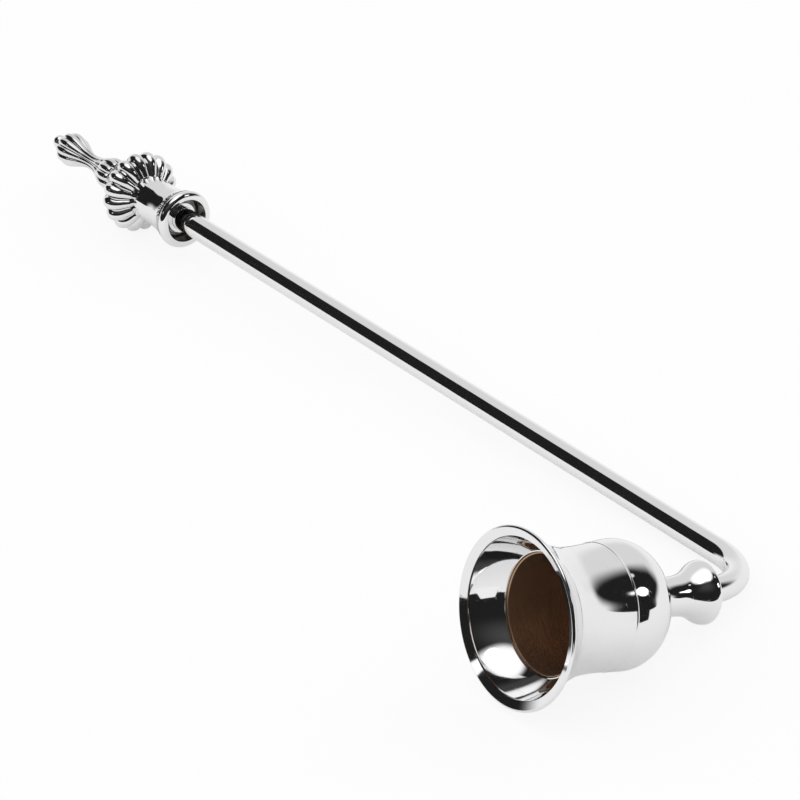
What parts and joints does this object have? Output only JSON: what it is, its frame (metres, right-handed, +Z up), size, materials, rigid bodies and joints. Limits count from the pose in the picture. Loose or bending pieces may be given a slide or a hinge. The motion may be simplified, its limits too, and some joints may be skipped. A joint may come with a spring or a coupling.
{
  "type": "candle snuffer",
  "caption": "Lying candle snuffer: a flared bell with a lined cup on a waisted neck, a bent round rod, and a turned handle with recessed collar, lobed knob, fluted spindle and button tip",
  "frame": {"origin": "on the table, at the centre of the bounding box of the snuffer as it lies at rest", "axes": "X runs along the rod towards the handle, Y runs from the rod towards the mouth of the bell, Z is up from the table"},
  "size_m": [0.2904, 0.0777, 0.0379],
  "materials": {
    "polished_silver": "mirror polish",
    "bronze_lining": "satin, darkened",
    "steel_fixings": "plain"
  },
  "bodies": {
    "root": {"bell_shell": "polished_silver", "bell_liner": "bronze_lining", "bell_washer": "steel_fixings", "bell_screw": "steel_fixings", "bell_neck": "polished_silver", "bent_rod": "polished_silver", "rod_bush": "polished_silver", "collar_cup": "polished_silver", "gadrooned_knob": "polished_silver", "fluted_spindle": "polished_silver", "handle_stud": "steel_fixings", "finial_button": "polished_silver"}
  },
  "joints": []
}
